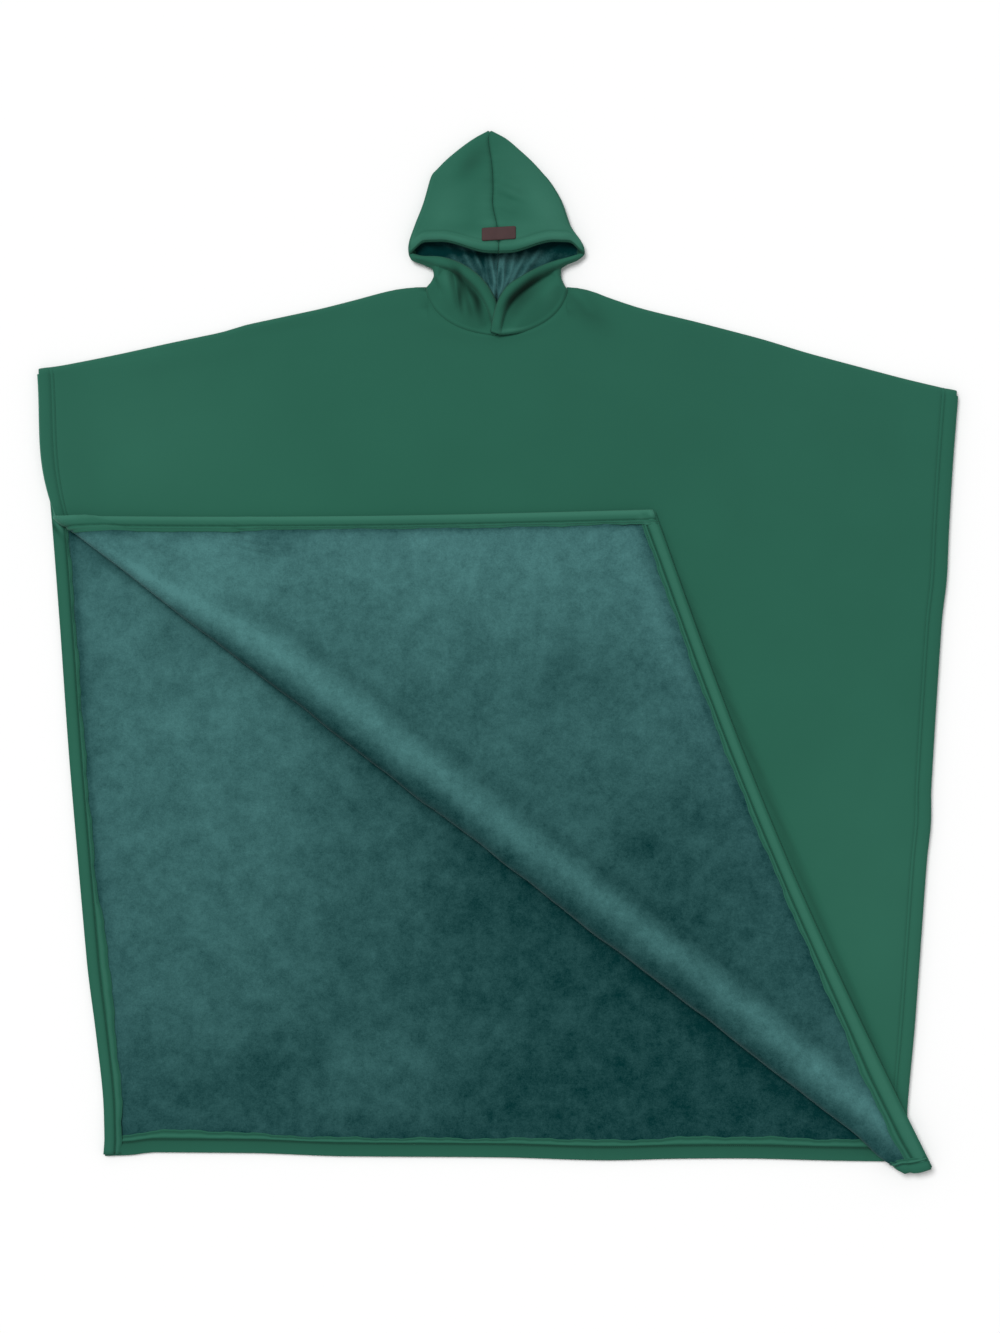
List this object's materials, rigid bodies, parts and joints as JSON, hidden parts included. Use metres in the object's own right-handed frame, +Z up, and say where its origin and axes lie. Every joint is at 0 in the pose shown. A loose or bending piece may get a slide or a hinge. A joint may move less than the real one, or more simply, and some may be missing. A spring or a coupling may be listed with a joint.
{
  "type": "hooded fleece cape",
  "caption": "Pull-over hooded cape of plush-lined fleece, laid out flat on its back with one front corner turned up over itself to show the plush side.",
  "frame": {"origin": "on the surface that the cape lies on, below the middle of its footprint", "axes": "+Z up from the surface, +Y towards the hood, +X towards the viewer's right as the cape is seen from above"},
  "size_m": [1.4971, 1.6936, 0.0384],
  "materials": {
    "fleece": "matte bottle-green fleece with a short smooth nap",
    "plush": "soft teal plush pile, mottled where the nap turns",
    "label_leather": "matte burgundy leather, bare"
  },
  "bodies": {
    "root": {"back_shell": "fleece", "back_lining": "plush", "back_hem_left": "fleece", "back_hem_right": "fleece", "back_hem_bottom": "fleece", "front_shell": "fleece", "front_lining": "plush", "front_hem_left": "fleece", "front_hem_right": "fleece", "front_hem_bottom": "fleece", "hood_left_shell": "fleece", "hood_left_lining": "plush", "hood_hem_left": "fleece", "hood_right_shell": "fleece", "hood_right_lining": "plush", "hood_hem_right": "fleece", "hood_label": "label_leather"}
  },
  "joints": []
}
